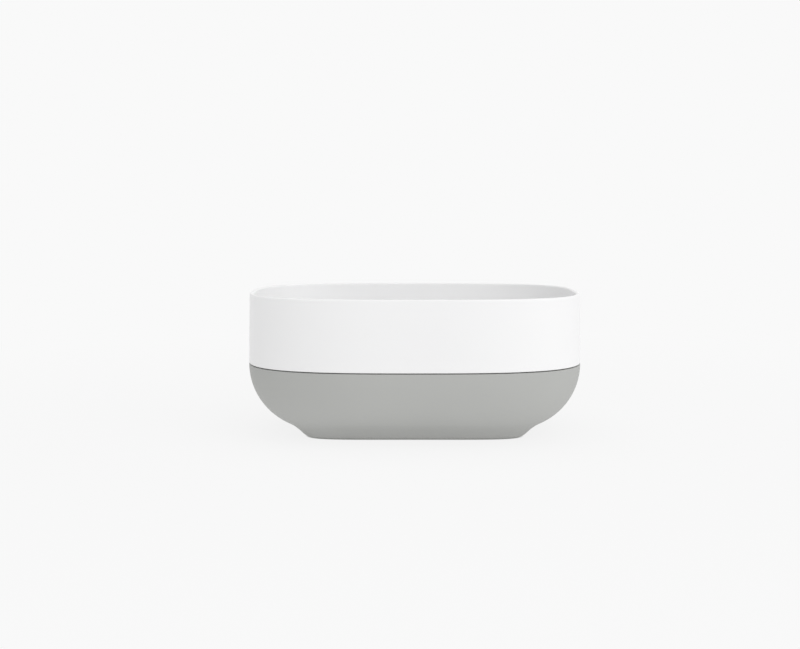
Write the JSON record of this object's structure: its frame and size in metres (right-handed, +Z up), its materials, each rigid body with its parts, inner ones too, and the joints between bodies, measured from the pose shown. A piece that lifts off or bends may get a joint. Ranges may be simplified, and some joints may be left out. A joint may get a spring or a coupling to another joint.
{
  "type": "soap dish",
  "caption": "Free-standing two-part soap dish: a white tray with a slotted, ribbed drain bed lifts off a grey drip base that stands on soft pads.",
  "frame": {"origin": "centre of the footprint on the surface that the pads stand on", "axes": "+X along the dish's length, +Y across it towards the back, +Z up out of the tray's mouth"},
  "size_m": [0.113, 0.08, 0.0484],
  "materials": {
    "gloss_white": "smooth moulded white plastic with a soft gloss",
    "satin_grey": "mid grey moulded plastic, satin",
    "soft_rubber": "matt grey non-slip rubber"
  },
  "bodies": {
    "base": {"drip_base": "satin_grey", "foot_pad_front_left": "soft_rubber", "foot_pad_front_right": "soft_rubber", "foot_pad_back_left": "soft_rubber", "foot_pad_back_right": "soft_rubber"},
    "tray": {"soap_tray": "gloss_white"}
  },
  "joints": [
    {"name": "tray_lift", "type": "slide", "parent": "base", "child": "tray", "axis": [0, 0, 1], "range_m": [0, 0.05]}
  ]
}
